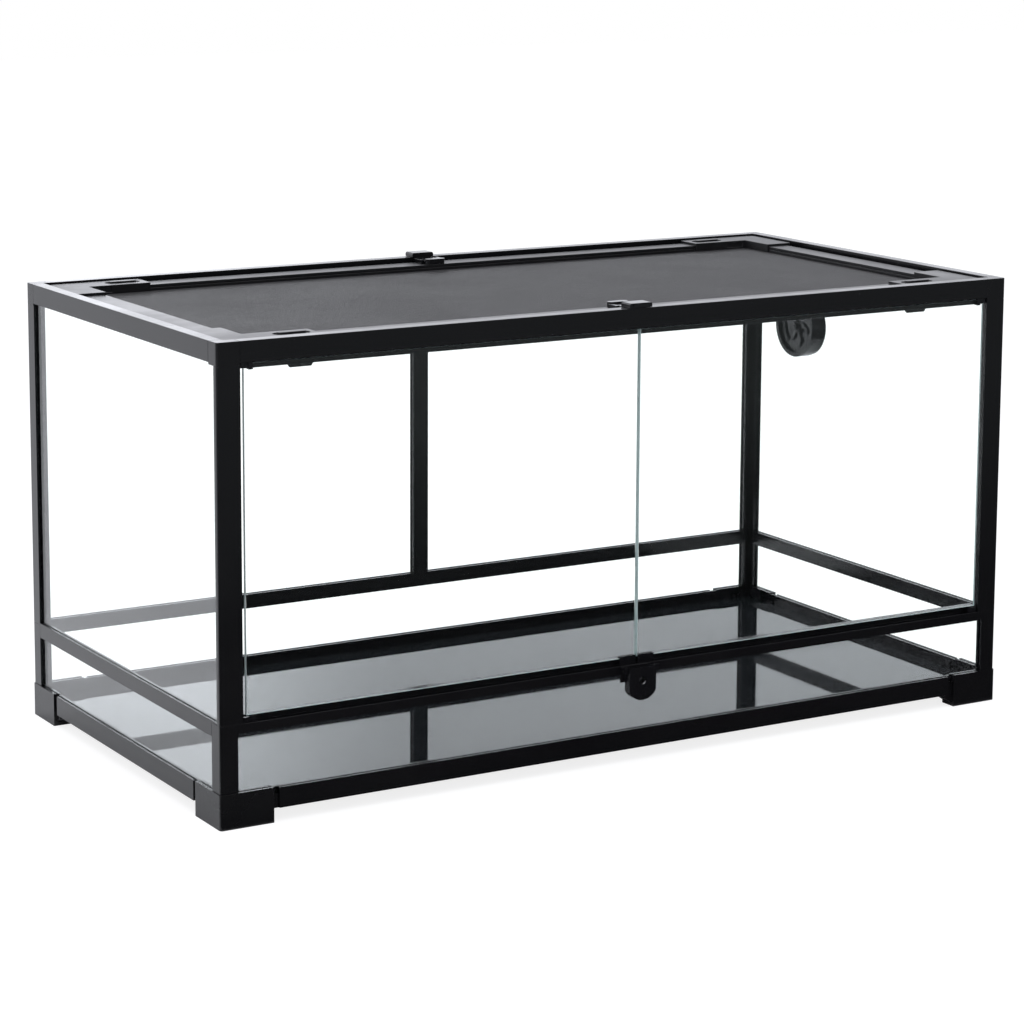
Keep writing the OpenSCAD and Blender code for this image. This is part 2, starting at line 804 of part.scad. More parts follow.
color(frame_black) at_corner(0, 1) top_corner(post_w, false);  // top_corner_back_left
color(frame_black) at_corner(1, 1) top_corner(post_w, false);  // top_corner_back_right
color(floor_dark) floor_sheet();  // floor_panel
color(glass_tint) on_front() lower_pane(frame_x, sill_bottom + groove_d - 1);  // lower_glass_front
color(glass_tint) on_back() lower_pane(frame_x, mid_bottom + groove_d);  // lower_glass_back
color(glass_tint) on_left() lower_pane(frame_y, mid_bottom + groove_d);  // lower_glass_left
color(glass_tint) on_right() lower_pane(frame_y, mid_bottom + groove_d);  // lower_glass_right
color(glass_tint) on_left() upper_side_pane();  // upper_glass_left
color(glass_tint) difference() {  // upper_glass_right
  on_right() upper_side_pane();
  on_port() disc(pane_inside - 5, pane_outside + 5, tube_r + edge_slack);
}
color(glass_tint) on_back() upper_back_pane();  // upper_glass_back_left
color(glass_tint) mirror([1, 0, 0]) on_back() upper_back_pane();  // upper_glass_back_right
color(glass_tint) door_glass();  // door_glass_left
color(glass_tint) mirror([1, 0, 0]) door_glass();  // door_glass_right
color(plastic_black) door_fittings();  // door_fittings_left
color(plastic_black) mirror([1, 0, 0]) door_fittings();  // door_fittings_right
hinge_pins();
lock_housing();
lock_pull_tab();
port_housing();
port_shutter();
color(plastic_black) difference() {  // lid_bar_front
  on_front() lid_bar_along_x();
  screen_sheet(0.1);
}
color(plastic_black) difference() {  // lid_bar_back
  on_back() lid_bar_along_x();
  screen_sheet(0.1);
}
color(plastic_black) difference() {  // lid_bar_left
  on_left() lid_bar_along_y();
  screen_sheet(0.1);
}
color(plastic_black) difference() {  // lid_bar_right
  on_right() lid_bar_along_y();
  screen_sheet(0.1);
}
color(plastic_black) difference() {  // lid_corner_front_left
  at_corner(0, 0) lid_corner();
  screen_sheet(0.1);
}
color(plastic_black) difference() {  // lid_corner_front_right
  at_corner(1, 0) lid_corner();
  screen_sheet(0.1);
}
color(plastic_black) difference() {  // lid_corner_back_left
  at_corner(0, 1) lid_corner();
  screen_sheet(0.1);
}
color(plastic_black) difference() {  // lid_corner_back_right
  at_corner(1, 1) lid_corner();
  screen_sheet(0.1);
}
color(screen_grey) screen_sheet(0);  // lid_screen
lid_latch_guides();
color(plastic_black) on_front() latch_bolt();  // lid_latch_front
color(plastic_black) on_back() latch_bolt();  // lid_latch_back
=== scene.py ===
"""Front-opening glass terrarium: a black frame of plastic profiles and moulded corners, glass walls,
two hinged glass doors over a fixed lower glass, a screen lid with latches, and a cable port."""
import json
import math
import bmesh
import bpy
from mathutils import Matrix, Vector

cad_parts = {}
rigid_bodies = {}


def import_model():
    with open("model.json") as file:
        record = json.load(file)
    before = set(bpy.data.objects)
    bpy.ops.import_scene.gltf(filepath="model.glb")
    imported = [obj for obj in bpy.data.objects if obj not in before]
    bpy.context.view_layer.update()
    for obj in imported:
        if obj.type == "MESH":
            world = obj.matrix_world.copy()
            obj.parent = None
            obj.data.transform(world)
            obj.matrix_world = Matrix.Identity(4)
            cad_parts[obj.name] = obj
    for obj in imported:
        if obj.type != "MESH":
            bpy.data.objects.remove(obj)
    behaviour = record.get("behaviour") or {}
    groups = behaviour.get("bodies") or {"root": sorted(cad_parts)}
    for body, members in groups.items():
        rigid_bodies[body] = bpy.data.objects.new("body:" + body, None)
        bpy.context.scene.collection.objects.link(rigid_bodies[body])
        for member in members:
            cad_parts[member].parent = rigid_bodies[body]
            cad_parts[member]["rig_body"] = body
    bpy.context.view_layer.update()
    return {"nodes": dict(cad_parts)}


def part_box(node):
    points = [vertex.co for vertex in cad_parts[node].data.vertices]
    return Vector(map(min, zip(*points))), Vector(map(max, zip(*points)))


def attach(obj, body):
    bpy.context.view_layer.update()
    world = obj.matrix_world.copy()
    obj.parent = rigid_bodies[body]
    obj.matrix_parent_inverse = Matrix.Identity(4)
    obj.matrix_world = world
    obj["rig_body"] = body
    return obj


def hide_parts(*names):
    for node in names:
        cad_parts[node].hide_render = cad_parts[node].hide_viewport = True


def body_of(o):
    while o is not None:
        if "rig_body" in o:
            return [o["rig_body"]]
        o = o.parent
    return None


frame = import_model()
MM = 0.001


# ---------------------------------------------------------------------------------------------
# Camera: a long lens some 2.7 m from the tank's front left corner and about twice as high as its
# lid, as photographed. Its small shift makes the upright edges more nearly parallel.
camera_data = bpy.data.cameras.new("camera")
camera_data.lens = 107.67
camera_data.sensor_width = 36.0
camera_data.shift_y = -0.1582
camera_data.clip_end = 60.0
camera = bpy.data.objects.new("camera", camera_data)
CAMERA_PLACE = Vector((-1.6163, -2.7061, 0.8891))
CAMERA_HEADING = math.radians(30.673)
CAMERA_DROP = math.radians(9.116)
CAMERA_ROLL = math.radians(0.299)
camera.matrix_world = (Matrix.Translation(CAMERA_PLACE)
                       @ Matrix.Rotation(-CAMERA_HEADING, 4, "Z")
                       @ Matrix.Rotation(math.pi / 2 - CAMERA_DROP, 4, "X")
                       @ Matrix.Rotation(CAMERA_ROLL, 4, "Z"))
bpy.context.scene.collection.objects.link(camera)
bpy.context.scene.camera = camera
bpy.context.scene.view_settings.view_transform = "Standard"


# ---------------------------------------------------------------------------------------------
# Studio: a pale floor, a white surround that is open and dark on the side where the camera
# stands, a bright card behind the tank, and one large soft lamp overhead.
world = bpy.data.worlds.new("white surround")
bpy.context.scene.world = world
world.use_nodes = True
tree = world.node_tree
tree.nodes.clear()
links = tree.links
DARK_SIDE = Vector((0.42, -0.9, -0.12)).normalized()
SURROUND_WHITE = 1.0
THROUGH_PANES = 0.3
SURROUND_FILL = 0.8
SURROUND_GLOSS = 1.4
SURROUND_DARK = 0.08
COOL_TINT = (0.925, 0.94, 1, 1)
CARD_HEADING = math.radians(24)
CARD_REACH = (-0.4, 0.2)
CARD_GAIN = 2.0
CARD_OFF = 1 / CARD_GAIN
CARD_ON = 0.87
CARD_STOPS = ((0.17, CARD_OFF), (0.5, CARD_ON), (0.67, CARD_ON), (0.8, CARD_OFF))

direction = tree.nodes.new("ShaderNodeTexCoord")
toward_dark = tree.nodes.new("ShaderNodeVectorMath")
toward_dark.operation = "DOT_PRODUCT"
toward_dark.inputs[1].default_value = DARK_SIDE
links.new(direction.outputs["Generated"], toward_dark.inputs[0])
dark_ramp = tree.nodes.new("ShaderNodeMapRange")
dark_ramp.interpolation_type = "SMOOTHSTEP"
dark_ramp.inputs["From Min"].default_value = 0.25
dark_ramp.inputs["From Max"].default_value = 0.75
dark_ramp.inputs["To Min"].default_value = SURROUND_GLOSS
dark_ramp.inputs["To Max"].default_value = SURROUND_DARK
links.new(toward_dark.outputs["Value"], dark_ramp.inputs["Value"])

# A bright card stands behind the tank, a little to the left: gloss there is nearly twice as bright.
across_card = tree.nodes.new("ShaderNodeVectorMath")
across_card.operation = "DOT_PRODUCT"
across_card.inputs[1].default_value = (math.cos(CARD_HEADING), -math.sin(CARD_HEADING), 0)
links.new(direction.outputs["Generated"], across_card.inputs[0])
along_card = tree.nodes.new("ShaderNodeMapRange")
along_card.inputs["From Min"].default_value = CARD_REACH[0]
along_card.inputs["From Max"].default_value = CARD_REACH[1]
links.new(across_card.outputs["Value"], along_card.inputs["Value"])
card = tree.nodes.new("ShaderNodeValToRGB")
card.color_ramp.interpolation = "EASE"
for place, level in CARD_STOPS:
    stop = card.color_ramp.elements.new(place)
    stop.color = (level, level, level, 1)
card.color_ramp.elements[0].color = (CARD_OFF, CARD_OFF, CARD_OFF, 1)
card.color_ramp.elements[-1].color = (CARD_OFF, CARD_OFF, CARD_OFF, 1)
links.new(along_card.outputs["Result"], card.inputs["Fac"])


def math_node(tree, operation, first, second):
    """One sum on two values, each a socket or a plain number."""
    made = tree.nodes.new("ShaderNodeMath")
    made.operation = operation
    for socket, value in zip(made.inputs, (first, second)):
        if isinstance(value, (int, float)):
            socket.default_value = value
        else:
            tree.links.new(value, socket)
    return made.outputs[0]


# Plain sight is the camera's own ray or one that has only gone through glass. A ray that has met
# gloss on its way sees the open dark side, also when it has to go through a pane to get there.
path = tree.nodes.new("ShaderNodeLightPath")
glossed = math_node(tree, "GREATER_THAN", path.outputs["Glossy Depth"], 0.5)
glossed = math_node(tree, "MAXIMUM", glossed, path.outputs["Is Glossy Ray"])
bounces = math_node(tree, "ADD", path.outputs["Glossy Depth"], path.outputs["Diffuse Depth"])
direct = math_node(tree, "LESS_THAN", bounces, 0.5)
through = math_node(tree, "MULTIPLY", path.outputs["Is Transmission Ray"], direct)
seen = math_node(tree, "MAXIMUM", path.outputs["Is Camera Ray"], through)
by_gloss = tree.nodes.new("ShaderNodeMix")
by_gloss.inputs["A"].default_value = SURROUND_FILL
card_gain = math_node(tree, "MULTIPLY", card.outputs["Color"], CARD_GAIN)
carded = math_node(tree, "MULTIPLY", dark_ramp.outputs["Result"], card_gain)
links.new(glossed, by_gloss.inputs["Factor"])
links.new(carded, by_gloss.inputs["B"])
# Behind panes the white is raised by what the panes hold back, so that it stays white.
raised = math_node(tree, "MULTIPLY", through, THROUGH_PANES)
raised = math_node(tree, "ADD", raised, SURROUND_WHITE)
by_sight = tree.nodes.new("ShaderNodeMix")
links.new(raised, by_sight.inputs["B"])
links.new(seen, by_sight.inputs["Factor"])
links.new(by_gloss.outputs["Result"], by_sight.inputs["A"])
cool = tree.nodes.new("ShaderNodeMix")
cool.data_type = "RGBA"
cool.inputs["A"].default_value = COOL_TINT
cool.inputs["B"].default_value = (1, 1, 1, 1)
links.new(seen, cool.inputs["Factor"])
surround = tree.nodes.new("ShaderNodeBackground")
links.new(cool.outputs["Result"], surround.inputs["Color"])
links.new(by_sight.outputs["Result"], surround.inputs["Strength"])
output = tree.nodes.new("ShaderNodeOutputWorld")
links.new(surround.outputs[0], output.inputs["Surface"])


def soft_lamp(name, place, aim, width, height, watts):
    """A rectangular soft lamp that lights the part but isn't seen itself."""
    data = bpy.data.lights.new(name, "AREA")
    data.shape = "RECTANGLE"
    data.size = width
    data.size_y = height
    data.energy = watts
    lamp = bpy.data.objects.new(name, data)
    lamp.location = place
    lamp.rotation_euler = (Vector(aim) - Vector(place)).to_track_quat("-Z", "Y").to_euler()
    lamp.visible_camera = False
    lamp.visible_transmission = False
    bpy.context.scene.collection.objects.link(lamp)


soft_lamp("overhead softbox", (-0.4, -0.2, 2.6), (0, 0, 0.3), 3.0, 2.2, 22)


def level_sheet(name, west, east, south, north, height):
    """A level rectangle of the stage, in metres."""
    data = bpy.data.meshes.new(name)
    bm = bmesh.new()
    bmesh.ops.create_grid(bm, x_segments=1, y_segments=1, size=0.5)
    bmesh.ops.scale(bm, vec=(east - west, north - south, 1), verts=bm.verts)
    bmesh.ops.translate(bm, vec=((east + west) / 2, (north + south) / 2, height), verts=bm.verts)
    bm.to_mesh(data)
    bm.free()
    sheet = bpy.data.objects.new(name, data)
    bpy.context.scene.collection.objects.link(sheet)
    return sheet


# The floor is pale paper; in plain sight it looks a little brighter than it is lit, so that it
# meets the white surround without a line, and it still takes the tank's shadow. To gloss it is
# black before the doors and grey farther off, as if a black cloth lay there to keep black plastic
# black.
PAPER = 0.72
SEEN_PAPER = 0.34
SEEN_LIFT = 0.82
DOOR_LINE = -0.232
CLOTH_DEPTHS = (-0.7, -1.9)
CLOTH_LEVELS = (0.004, 0.15)
floor = level_sheet("floor", -8, 10, -8, 10, 0)
floor_finish = bpy.data.materials.new("pale studio paper")
floor_finish.use_nodes = True
tree = floor_finish.node_tree
nodes = tree.nodes
links = tree.links
nodes.remove(nodes["Principled BSDF"])
paper = nodes.new("ShaderNodeBsdfDiffuse")
paper.inputs["Color"].default_value = (PAPER, PAPER, PAPER, 1)
seen_paper = nodes.new("ShaderNodeBsdfDiffuse")
seen_paper.inputs["Color"].default_value = (SEEN_PAPER, SEEN_PAPER, SEEN_PAPER, 1)
path = nodes.new("ShaderNodeLightPath")
glossed = math_node(tree, "GREATER_THAN", path.outputs["Glossy Depth"], 0.5)
bounces = math_node(tree, "ADD", path.outputs["Glossy Depth"], path.outputs["Diffuse Depth"])
bounced = math_node(tree, "GREATER_THAN", bounces, 0.5)
raised = math_node(tree, "MULTIPLY", path.outputs["Is Transmission Ray"], THROUGH_PANES)
raised = math_node(tree, "ADD", raised, SEEN_LIFT)
lift = nodes.new("ShaderNodeEmission")
links.new(raised, lift.inputs["Strength"])
place = nodes.new("ShaderNodeNewGeometry")
split = nodes.new("ShaderNodeSeparateXYZ")
links.new(place.outputs["Position"], split.inputs[0])
before_doors = math_node(tree, "LESS_THAN", split.outputs["Y"], DOOR_LINE)
cloth = math_node(tree, "MULTIPLY", glossed, before_doors)
lifted = nodes.new("ShaderNodeAddShader")
links.new(seen_paper.outputs[0], lifted.inputs[0])
links.new(lift.outputs[0], lifted.inputs[1])
by_sight = nodes.new("ShaderNodeMixShader")
links.new(bounced, by_sight.inputs[0])
links.new(lifted.outputs[0], by_sight.inputs[1])
links.new(paper.outputs[0], by_sight.inputs[2])
fading = nodes.new("ShaderNodeMapRange")
fading.inputs["From Min"].default_value = CLOTH_DEPTHS[0]
fading.inputs["From Max"].default_value = CLOTH_DEPTHS[1]
fading.inputs["To Min"].default_value = CLOTH_LEVELS[0]
fading.inputs["To Max"].default_value = CLOTH_LEVELS[1]
links.new(split.outputs["Y"], fading.inputs["Value"])
black_cloth = nodes.new("ShaderNodeEmission")
black_cloth.inputs["Color"].default_value = (0.88, 0.98, 1, 1)
links.new(fading.outputs["Result"], black_cloth.inputs["Strength"])
by_gloss = nodes.new("ShaderNodeMixShader")
links.new(cloth, by_gloss.inputs[0])
links.new(by_sight.outputs[0], by_gloss.inputs[1])
links.new(black_cloth.outputs[0], by_gloss.inputs[2])
links.new(by_gloss.outputs[0], nodes["Material Output"].inputs["Surface"])
floor.data.materials.append(floor_finish)


# ---------------------------------------------------------------------------------------------
# Frame profiles: black plastic rails and posts, extruded in one length each and sawn square.
# Their skin is glossy, with faint draw lines along the length and slightly rounded edges.
def surface_marks():
    """Masks that several finishes share: cloudy handling marks, a fine grain, and lint."""
    group = bpy.data.node_groups.new("surface marks", "ShaderNodeTree")
    for label, kind, value in (("Cloud Scale", "NodeSocketFloat", 9.0),
                               ("Grain Scale", "NodeSocketFloat", 900.0),
                               ("Stretch", "NodeSocketVector", (1.0, 1.0, 1.0))):
        socket = group.interface.new_socket(name=label, in_out="INPUT", socket_type=kind)
        socket.default_value = value
    for label in ("Cloud", "Grain", "Lint"):
        group.interface.new_socket(name=label, in_out="OUTPUT", socket_type="NodeSocketFloat")
    nodes = group.nodes
    wires = group.links
    entry = nodes.new("NodeGroupInput")
    leave = nodes.new("NodeGroupOutput")
    where = nodes.new("ShaderNodeTexCoord")
    stretched = nodes.new("ShaderNodeVectorMath")
    stretched.operation = "MULTIPLY"
    wires.new(where.outputs["Object"], stretched.inputs[0])
    wires.new(entry.outputs["Stretch"], stretched.inputs[1])
    cloud = nodes.new("ShaderNodeTexNoise")
    cloud.inputs["Detail"].default_value = 5.0
    cloud.inputs["Roughness"].default_value = 0.62
    wires.new(where.outputs["Object"], cloud.inputs["Vector"])
    wires.new(entry.outputs["Cloud Scale"], cloud.inputs["Scale"])
    wires.new(cloud.outputs[0], leave.inputs["Cloud"])
    grain = nodes.new("ShaderNodeTexNoise")
    grain.inputs["Detail"].default_value = 3.0
    wires.new(stretched.outputs[0], grain.inputs["Vector"])
    wires.new(entry.outputs["Grain Scale"], grain.inputs["Scale"])
    wires.new(grain.outputs[0], leave.inputs["Grain"])
    specks = nodes.new("ShaderNodeTexVoronoi")
    specks.inputs["Scale"].default_value = 160.0
    wires.new(where.outputs["Object"], specks.inputs["Vector"])
    small = nodes.new("ShaderNodeMapRange")
    small.inputs["From Min"].default_value = 0.10
    small.inputs["From Max"].default_value = 0.03
    wires.new(specks.outputs["Distance"], small.inputs["Value"])
    rare = nodes.new("ShaderNodeMapRange")
    rare.inputs["From Min"].default_value = 0.62
    rare.inputs["From Max"].default_value = 0.70
    wires.new(cloud.outputs[0], rare.inputs["Value"])
    lint = nodes.new("ShaderNodeMath")
    lint.operation = "MULTIPLY"
    wires.new(small.outputs["Result"], lint.inputs[0])
    wires.new(rare.outputs["Result"], lint.inputs[1])
    wires.new(lint.outputs[0], leave.inputs["Lint"])
    return group


marks = surface_marks()


def black_plastic(name, colour, roughness, spread, grain_scale, grain_depth,
                  stretch=(1, 1, 1)):
    """A black plastic finish whose gloss, shade and fine relief vary over the surface."""
    made = bpy.data.materials.new(name)
    made.use_nodes = True
    nodes = made.node_tree.nodes
    wires = made.node_tree.links
    shader = nodes["Principled BSDF"]
    shader.inputs["IOR"].default_value = 1.5
    pattern = nodes.new("ShaderNodeGroup")
    pattern.node_tree = marks
    pattern.inputs["Grain Scale"].default_value = grain_scale
    pattern.inputs["Stretch"].default_value = stretch
    shade = nodes.new("ShaderNodeMix")
    shade.data_type = "RGBA"
    shade.inputs["A"].default_value = (*[c * 0.75 for c in colour], 1)
    shade.inputs["B"].default_value = (*[c * 1.3 for c in colour], 1)
    wires.new(pattern.outputs["Cloud"], shade.inputs["Factor"])
    dusty = nodes.new("ShaderNodeMix")
    dusty.data_type = "RGBA"
    dusty.inputs["B"].default_value = (0.16, 0.16, 0.16, 1)
    wires.new(pattern.outputs["Lint"], dusty.inputs["Factor"])
    wires.new(shade.outputs["Result"], dusty.inputs["A"])
    wires.new(dusty.outputs["Result"], shader.inputs["Base Color"])
    gloss = nodes.new("ShaderNodeMapRange")
    gloss.inputs["From Min"].default_value = 0.35
    gloss.inputs["From Max"].default_value = 0.65
    gloss.inputs["To Min"].default_value = roughness - spread
    gloss.inputs["To Max"].default_value = roughness + spread
    wires.new(pattern.outputs["Cloud"], gloss.inputs["Value"])
    wires.new(gloss.outputs["Result"], shader.inputs["Roughness"])
    relief = nodes.new("ShaderNodeBump")
    relief.inputs["Strength"].default_value = 0.35
    relief.inputs["Distance"].default_value = grain_depth * MM
    wires.new(pattern.outputs["Grain"], relief.inputs["Height"])
    wires.new(relief.outputs[0], shader.inputs["Normal"])
    return made


DEEP_BLACK = (0.004, 0.004, 0.0048)
PROFILE_EDGE = 0.35
along_x = black_plastic("extruded black, along x", DEEP_BLACK, 0.22, 0.05,
                        700, 0.03, (0.02, 1, 1))
along_y = black_plastic("extruded black, along y", DEEP_BLACK, 0.22, 0.05,
                        700, 0.03, (1, 0.02, 1))
upright = black_plastic("extruded black, upright", DEEP_BLACK, 0.22, 0.05,
                        700, 0.03, (1, 1, 0.02))


def make_piece(name, bm, finish, body, smooth_below=35.0, even_shading=True):
    """Turns a working mesh into a piece with its finish on, which rides on a body."""
    data = bpy.data.meshes.new(name)
    bm.to_mesh(data)
    bm.free()
    data.shade_smooth()
    data.set_sharp_from_angle(angle=math.radians(smooth_below))
    data.materials.append(finish)
    piece = bpy.data.objects.new(name, data)
    bpy.context.scene.collection.objects.link(piece)
    if even_shading:
        even = piece.modifiers.new("even shading", "WEIGHTED_NORMAL")
        even.weight = 100
        even.keep_sharp = True
    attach(piece, body)
    return piece


def round_edges(bm, edges, radius):
    """Rounds edges by a radius in mm."""
    bmesh.ops.bevel(bm, geom=edges, affect="EDGES", offset=radius * MM, segments=2, profile=0.5,
                    clamp_overlap=True, material=-1)


WELD = 2e-6
FLAT_BELOW = math.radians(0.5)
SHARP_ABOVE = math.radians(40)


def dress(node, finish, edge):
    """A copy of a frame node with its edges rounded and its finish on, in the node's place."""
    source = frame["nodes"][node]
    bm = bmesh.new()
    bm.from_mesh(source.data)
    bmesh.ops.remove_doubles(bm, verts=bm.verts, dist=WELD)
    bmesh.ops.dissolve_limit(bm, angle_limit=FLAT_BELOW, verts=bm.verts, edges=bm.edges)
    sharp = [e for e in bm.edges if len(e.link_faces) == 2 and e.calc_face_angle(0) > SHARP_ABOVE]
    if edge:
        round_edges(bm, sharp, edge)
    piece = make_piece(f"{node}_body", bm, finish, body_of(source)[0])
    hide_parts(node)
    return piece


NEAR = 1 * MM


def lower_top(piece, level, lowered):
    """Moves the top edges of a piece, all that lies within 1 mm of one level, down to another."""
    for vertex in piece.data.vertices:
        if abs(vertex.co.z - level * MM) < NEAR:
            vertex.co.z -= (level - lowered) * MM


def lengthen(rail, axis, by):
    """Moves both ends of a rail outwards along one axis."""
    reach = max(vertex.co[axis] for vertex in rail.data.vertices)
    for vertex in rail.data.vertices:
        if abs(vertex.co[axis]) > reach - NEAR:
            vertex.co[axis] += math.copysign(by * MM, vertex.co[axis])


# The side and back middle rails reach only 2 mm above the door sill; the lip that the doors
# close against stands higher, on the front rail alone.
MIDDLE_TOP = 106.0
RING_TOP = 101.5
# The base rails reach this much further into the feet's necks than the solids do.
BASE_REACH = 2.0
CORNERS = [f"{depth}_{side}" for depth in ("front", "back") for side in ("left", "right")]
for level in ("base", "middle", "top"):
    for side in ("front", "back", "left", "right"):
        rail = dress(f"{level}_rail_{side}", along_x if side in ("front", "back") else along_y,
                     PROFILE_EDGE)
        if level == "middle" and side != "front":
            lower_top(rail, MIDDLE_TOP, RING_TOP)
        if level == "base":
            lengthen(rail, 0 if side in ("front", "back") else 1, BASE_REACH)
for corner in CORNERS:
    dress(f"lower_post_{corner}", upright, PROFILE_EDGE)
    dress(f"upper_post_{corner}", upright, PROFILE_EDGE)
lower_top(dress("back_centre_post", upright, PROFILE_EDGE), MIDDLE_TOP, RING_TOP)


# ---------------------------------------------------------------------------------------------
# Feet and top corner caps: injection moulded in the same black, with softer edges than the
# sawn profiles, and pressed into them with spigots.
moulded = black_plastic("moulded black", DEEP_BLACK, 0.26, 0.05,
                        1500, 0.02)
MOULDED_EDGE = 0.5
RAIL_BOTTOM = 13.0 * MM
FOOT_SOLE = 2.0 * MM
# Where the feet's full faces end along the rails.
FACE_END_X = 402.2 * MM
FACE_END_Y = 173.6 * MM
for corner in CORNERS:
    dress(f"top_corner_{corner}", moulded, MOULDED_EDGE)
    foot = dress(f"foot_{corner}", moulded, MOULDED_EDGE)
    if corner == "front_left":
        # This foot's set-back necks end level with the rails, where the others hang below them.
        for vertex in foot.data.vertices:
            beyond = abs(vertex.co.x) < FACE_END_X or abs(vertex.co.y) < FACE_END_Y
            if beyond and FOOT_SOLE < vertex.co.z < RAIL_BOTTOM:
                vertex.co.z = RAIL_BOTTOM


# ---------------------------------------------------------------------------------------------
# Wall panes and doors: 4 mm float glass with ground and polished edges. Iron in the glass makes
# it greenish along its edges, while its faces stay clear.
def glass(name, roughness, tint_density):
    """Clear glass that colours light by the length of its way through, and lets lamps through."""
    made = bpy.data.materials.new(name)
    made.use_nodes = True
    nodes = made.node_tree.nodes
    wires = made.node_tree.links
    shader = nodes["Principled BSDF"]
    shader.inputs["Transmission Weight"].default_value = 1.0
    shader.inputs["IOR"].default_value = 1.5
    shader.inputs["Base Color"].default_value = (0.985, 0.995, 0.99, 1)
    pattern = nodes.new("ShaderNodeGroup")
    pattern.node_tree = marks
    pattern.inputs["Cloud Scale"].default_value = 14.0
    wipe = nodes.new("ShaderNodeMapRange")
    wipe.inputs["From Min"].default_value = 0.45
    wipe.inputs["From Max"].default_value = 0.75
    wipe.inputs["To Min"].default_value = roughness
    wipe.inputs["To Max"].default_value = roughness + 0.02
    wires.new(pattern.outputs["Cloud"], wipe.inputs["Value"])
    wires.new(wipe.outputs["Result"], shader.inputs["Roughness"])
    absorb = nodes.new("ShaderNodeVolumeAbsorption")
    absorb.inputs["Color"].default_value = (0.25, 0.72, 0.66, 1)
    absorb.inputs["Density"].default_value = tint_density
    passing = nodes.new("ShaderNodeBsdfTransparent")
    passing.inputs["Color"].default_value = (0.95, 0.97, 0.965, 1)
    path = nodes.new("ShaderNodeLightPath")
    choose = nodes.new("ShaderNodeMixShader")
    wires.new(path.outputs["Is Shadow Ray"], choose.inputs[0])
    wires.new(shader.outputs[0], choose.inputs[1])
    wires.new(passing.outputs[0], choose.inputs[2])
    wires.new(choose.outputs[0], nodes["Material Output"].inputs["Surface"])
    wires.new(absorb.outputs[0], nodes["Material Output"].inputs["Volume"])
    return made


clear_glass = glass("clear float glass", 0.0, 6.0)
PANE_EDGE = 0.3

# The doors' bare ground edges get a pale greenish colour that is a painted glow: it stands in for the
# light that runs inside the pane and leaves at its edges, so they look pale before anything dark. The
# walls' edges are hidden in the rails' channels.
ground_edge_painted_glow = bpy.data.materials.new("ground glass edge, painted glow")
ground_edge_painted_glow.use_nodes = True
edge_shader = ground_edge_painted_glow.node_tree.nodes["Principled BSDF"]
# Painted glow: this pale greenish base colour stands in for light carried inside the pane, not for the
# glass's own colour.
edge_shader.inputs["Base Color"].default_value = (0.62, 0.73, 0.72, 1)
edge_shader.inputs["Roughness"].default_value = 0.45


def grind_and_glow_edges(sheet, across):
    """Gives the narrow faces of a pane, whose thickness lies along one axis, the ground finish with its
    painted pale glow.
    """
    sheet.data.materials.append(ground_edge_painted_glow)
    for face in sheet.data.polygons:
        if abs(face.normal[across]) < 0.5:
            face.material_index = 1


for pane in ("lower_glass_left", "lower_glass_right", "lower_glass_front", "lower_glass_back",
             "upper_glass_left", "upper_glass_right", "upper_glass_back_left", "upper_glass_back_right"):
    dress(pane, clear_glass, PANE_EDGE)

# The door panes end just above the stop lip, so that its face shows below them.
LIP_GAP = 0.6
for side in ("left", "right"):
    pane = f"door_glass_{side}"
    low, high = (Vector(p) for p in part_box(pane))
    low.z = (MIDDLE_TOP + LIP_GAP) * MM
    bm = bmesh.new()
    bmesh.ops.create_cube(bm, size=1.0)
    bmesh.ops.scale(bm, vec=high - low, verts=bm.verts)
    bmesh.ops.translate(bm, vec=(low + high) / 2, verts=bm.verts)
    round_edges(bm, bm.edges[:], PANE_EDGE)
    sheet = make_piece(f"{pane}_body", bm, clear_glass, body_of(frame["nodes"][pane])[0])
    grind_and_glow_edges(sheet, 1)
    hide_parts(pane)


# ---------------------------------------------------------------------------------------------
# Floor panel: one sheet with a black, mirror-smooth upper face. It is dropped in from above and
# lies on the ledges of the base rails.
floor_gloss = black_plastic("floor gloss", (0.012, 0.0135, 0.015), 0.03, 0.01, 300, 0.0)
PANEL_EDGE = 0.4
dress("floor_panel", floor_gloss, PANEL_EDGE)


# ---------------------------------------------------------------------------------------------
# Lid: four flat bars and four L-shaped corners of satin black plastic around a woven screen. The
# corners' arms plug into the bars, and the lid lies on the top rails' inner ledge.
lid_plastic = black_plastic("lid black", (0.0075, 0.0075, 0.0085), 0.36, 0.06,
                            1500, 0.03)
LID_BAR_EDGE = 0.4
LID_CORNER_EDGE = 0.45
for side in ("front", "back", "left", "right"):
    dress(f"lid_bar_{side}", lid_plastic, LID_BAR_EDGE)
for corner in CORNERS:
    dress(f"lid_corner_{corner}", lid_plastic, LID_CORNER_EDGE)


# ---------------------------------------------------------------------------------------------
# Screen: black coated wire in both directions, clamped between the lid's bars. The wires are
# thicker and wider apart than real ones, so that they can still be told apart when rendered.
WIRE = 0.85 * MM
WIRE_SIDES = 6
PITCH = 2.55 * MM
low, high = (Vector(p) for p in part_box("lid_screen"))
screen_mid = (low.z + high.z) / 2
centre = (low + high) / 2
bm = bmesh.new()


def straight_wires(count, start, step, length_axis):
    """Parallel wires, each a long straight prism."""
    for index in range(count):
        place = start + step * index
        made = bmesh.ops.create_cone(bm, cap_ends=True, segments=WIRE_SIDES, radius1=WIRE / 2,
                                     radius2=WIRE / 2, depth=(high - low)[length_axis])
        turn = Matrix.Rotation(math.pi / 2, 4, "Y" if length_axis == 0 else "X")
        bmesh.ops.transform(bm, verts=made["verts"], matrix=Matrix.Translation(place) @ turn)


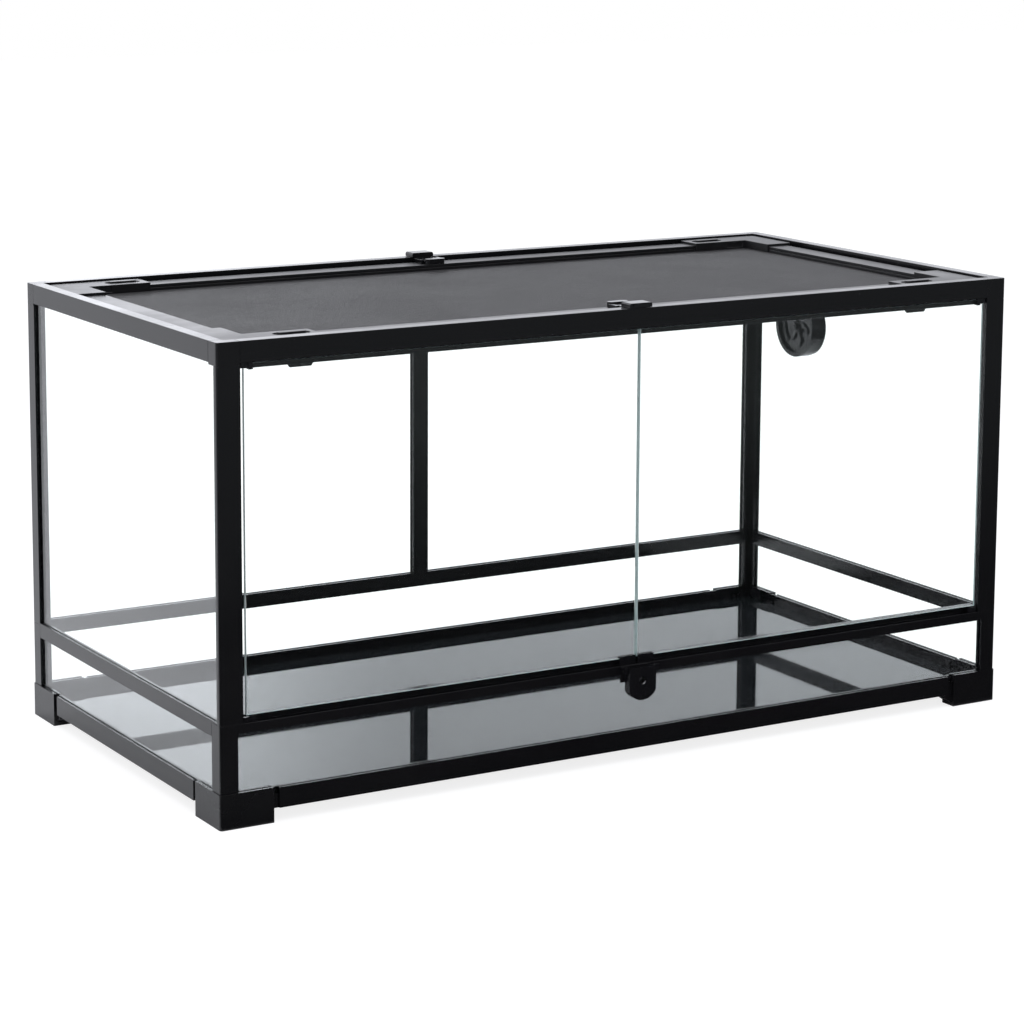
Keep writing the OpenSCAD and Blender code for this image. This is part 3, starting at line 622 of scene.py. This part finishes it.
across = int((high.y - low.y) / PITCH)
along = int((high.x - low.x) / PITCH)
straight_wires(across, Vector((centre.x, low.y + PITCH / 2, screen_mid)), Vector((0, PITCH, 0)), 0)
straight_wires(along, Vector((low.x + PITCH / 2, centre.y, screen_mid)), Vector((PITCH, 0, 0)), 1)
screen_wire = black_plastic("coated screen wire", (0.014, 0.0135, 0.0145), 0.35,
                            0.05, 2500, 0.01)
screen = make_piece("screen_wires", bm, screen_wire, "lid", smooth_below=70, even_shading=False)
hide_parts("lid_screen")


# ---------------------------------------------------------------------------------------------
# Fittings: small glossy black mouldings. Latches and their runners sit on the lid, a lock on the
# front middle rail, a port in the right pane, and pivot blocks and catch plates on the doors.
fitting = black_plastic("fitting black", (0.005, 0.005, 0.006), 0.14, 0.04,
                        1200, 0.02)
FITTING_EDGE = 0.25
PORT_EDGE = 0.2
for node in ("lid_latch_guides", "lid_latch_front", "lid_latch_back", "lock_housing", "lock_pull_tab",
             "door_fittings_left", "door_fittings_right"):
    dress(node, fitting, FITTING_EDGE)
for node in ("port_housing", "port_shutter"):
    dress(node, fitting, PORT_EDGE)


# ---------------------------------------------------------------------------------------------
# The lock's barrel: a dark nickel-plated disc with a raised rim and an upright key slot, pressed
# into the round recess of the pull tab.
barrel_metal = bpy.data.materials.new("dark nickel")
barrel_metal.use_nodes = True
barrel_shader = barrel_metal.node_tree.nodes["Principled BSDF"]
barrel_shader.inputs["Metallic"].default_value = 1.0
barrel_shader.inputs["Base Color"].default_value = (0.16, 0.16, 0.165, 1)
barrel_shader.inputs["Roughness"].default_value = 0.18
# The disc's profile from the slot outwards, each point a radius and a height.
RIM_PROFILE = ((1.2, 0.10), (2.9, 0.10), (3.3, 0.62), (3.9, 0.70), (4.2, 0.30), (4.2, 0.02))
BARREL_STEPS = 40
KEY_SLOT = (0.9 * MM, 0.25 * MM, 4.6 * MM)
KEY_SLOT_SEAT = (0, -0.16 * MM, 0)
BARREL_SEAT = (0, -238.2 * MM, 84.7 * MM)
bm = bmesh.new()
ring = [bm.verts.new((radius * MM, -height * MM, 0)) for radius, height in RIM_PROFILE]
edges = [bm.edges.new(pair) for pair in zip(ring, ring[1:])]
bmesh.ops.spin(bm, geom=ring + edges, cent=(0, 0, 0), axis=(0, 1, 0), dvec=(0, 0, 0),
               angle=math.tau, steps=BARREL_STEPS, use_merge=True, use_duplicate=False)
bmesh.ops.recalc_face_normals(bm, faces=bm.faces)
slot_bar = bmesh.ops.create_cube(bm, size=1.0)["verts"]
bmesh.ops.scale(bm, vec=KEY_SLOT, verts=slot_bar)
bmesh.ops.translate(bm, vec=KEY_SLOT_SEAT, verts=slot_bar)
bmesh.ops.translate(bm, vec=BARREL_SEAT, verts=bm.verts)
make_piece("lock_barrel", bm, barrel_metal, body_of(frame["nodes"]["lock_pull_tab"])[0],
           even_shading=False)


# ---------------------------------------------------------------------------------------------
# Hinge pins: bright drawn steel, fixed in the sill, the top rail and the lock's ears. The doors'
# pivot blocks and the lock's tab turn on them.
pin_metal = bpy.data.materials.new("bright steel pin")
pin_metal.use_nodes = True
pin_shader = pin_metal.node_tree.nodes["Principled BSDF"]
pin_shader.inputs["Metallic"].default_value = 1.0
pin_shader.inputs["Base Color"].default_value = (0.55, 0.55, 0.56, 1)
pin_shader.inputs["Roughness"].default_value = 0.25
dress("hinge_pins", pin_metal, 0.0)
